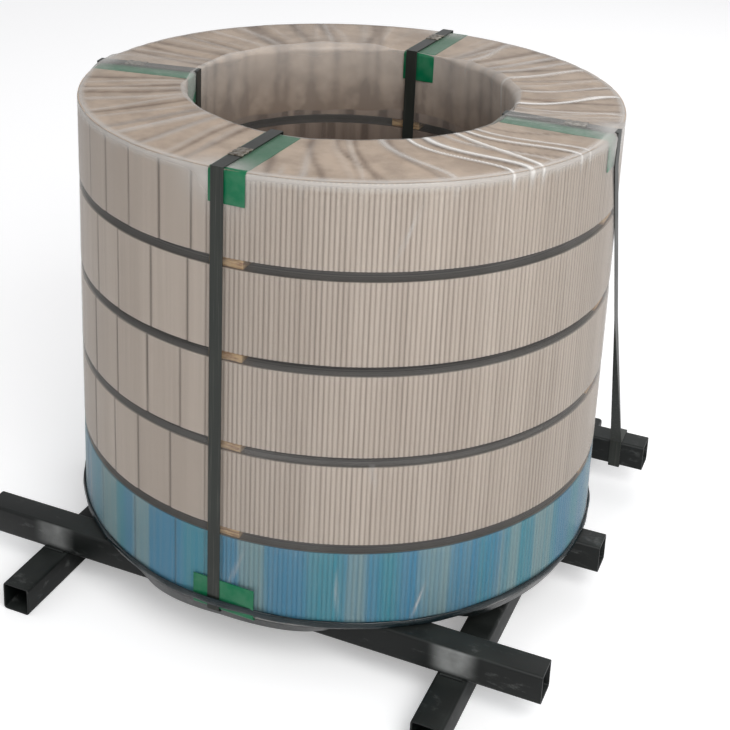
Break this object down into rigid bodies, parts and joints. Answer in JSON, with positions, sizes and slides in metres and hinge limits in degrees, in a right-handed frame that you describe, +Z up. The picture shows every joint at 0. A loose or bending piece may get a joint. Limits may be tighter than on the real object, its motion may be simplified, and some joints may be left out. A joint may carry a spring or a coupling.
{
  "type": "packed stack of slit stainless steel coils on a steel skid",
  "caption": "Slit stainless steel coils in ribbed beige and blue sleeves, stacked eye to the sky under stretch film, strapped over green guards to a black square-tube skid",
  "frame": {"origin": "on the floor, under the middle of the skid and of the coils", "axes": "+Z up; +X along the three upper beams of the skid; +Y along the two runners; metres"},
  "size_m": [0.9, 0.9, 0.7562],
  "materials": {
    "strip_steel": "bright rolled strip, its turns showing on the ends",
    "beige_sleeve": "ribbed beige-grey wrapping sleeve with upright ribs",
    "blue_sleeve": "streaky blue ribbed sleeve",
    "wrapping_paper": "creased beige packing paper",
    "raw_wood": "sawn bare softwood",
    "clear_film": "clear glossy stretch film with pleats",
    "green_plastic": "glossy green corner guards",
    "strap_paint": "black painted steel strap",
    "seal_steel": "crimped dull steel seal",
    "black_paint": "black painted square tube, worn at the edges"
  },
  "bodies": {
    "root": {"coil_1": "strip_steel", "coil_2": "strip_steel", "coil_3": "strip_steel", "coil_4": "strip_steel", "coil_5": "strip_steel", "foot_guard_front_inner": "green_plastic", "foot_guard_front_outer": "green_plastic", "foot_guard_rear_inner": "green_plastic", "foot_guard_rear_outer": "green_plastic", "liner_1": "wrapping_paper", "liner_2": "wrapping_paper", "liner_3": "wrapping_paper", "liner_4": "wrapping_paper", "liner_5": "wrapping_paper", "skid_beam_front": "black_paint", "skid_beam_middle": "black_paint", "skid_beam_rear": "black_paint", "skid_runner_left": "black_paint", "skid_runner_right": "black_paint", "sleeve_1": "blue_sleeve", "sleeve_2": "beige_sleeve", "sleeve_3": "beige_sleeve", "sleeve_4": "beige_sleeve", "sleeve_5": "beige_sleeve", "spacer_1_front": "raw_wood", "spacer_1_left": "raw_wood", "spacer_1_rear": "raw_wood", "spacer_1_right": "raw_wood", "spacer_2_front": "raw_wood", "spacer_2_left": "raw_wood", "spacer_2_rear": "raw_wood", "spacer_2_right": "raw_wood", "spacer_3_front": "raw_wood", "spacer_3_left": "raw_wood", "spacer_3_rear": "raw_wood", "spacer_3_right": "raw_wood", "spacer_4_front": "raw_wood", "spacer_4_left": "raw_wood", "spacer_4_rear": "raw_wood", "spacer_4_right": "raw_wood", "strap_front": "strap_paint", "strap_left": "strap_paint", "strap_rear": "strap_paint", "strap_right": "strap_paint", "strap_seal_front": "seal_steel", "strap_seal_left": "seal_steel", "strap_seal_rear": "seal_steel", "strap_seal_right": "seal_steel", "stretch_film": "clear_film", "top_cover": "wrapping_paper", "top_guard_front": "green_plastic", "top_guard_left": "green_plastic", "top_guard_rear": "green_plastic", "top_guard_right": "green_plastic"}
  },
  "joints": []
}
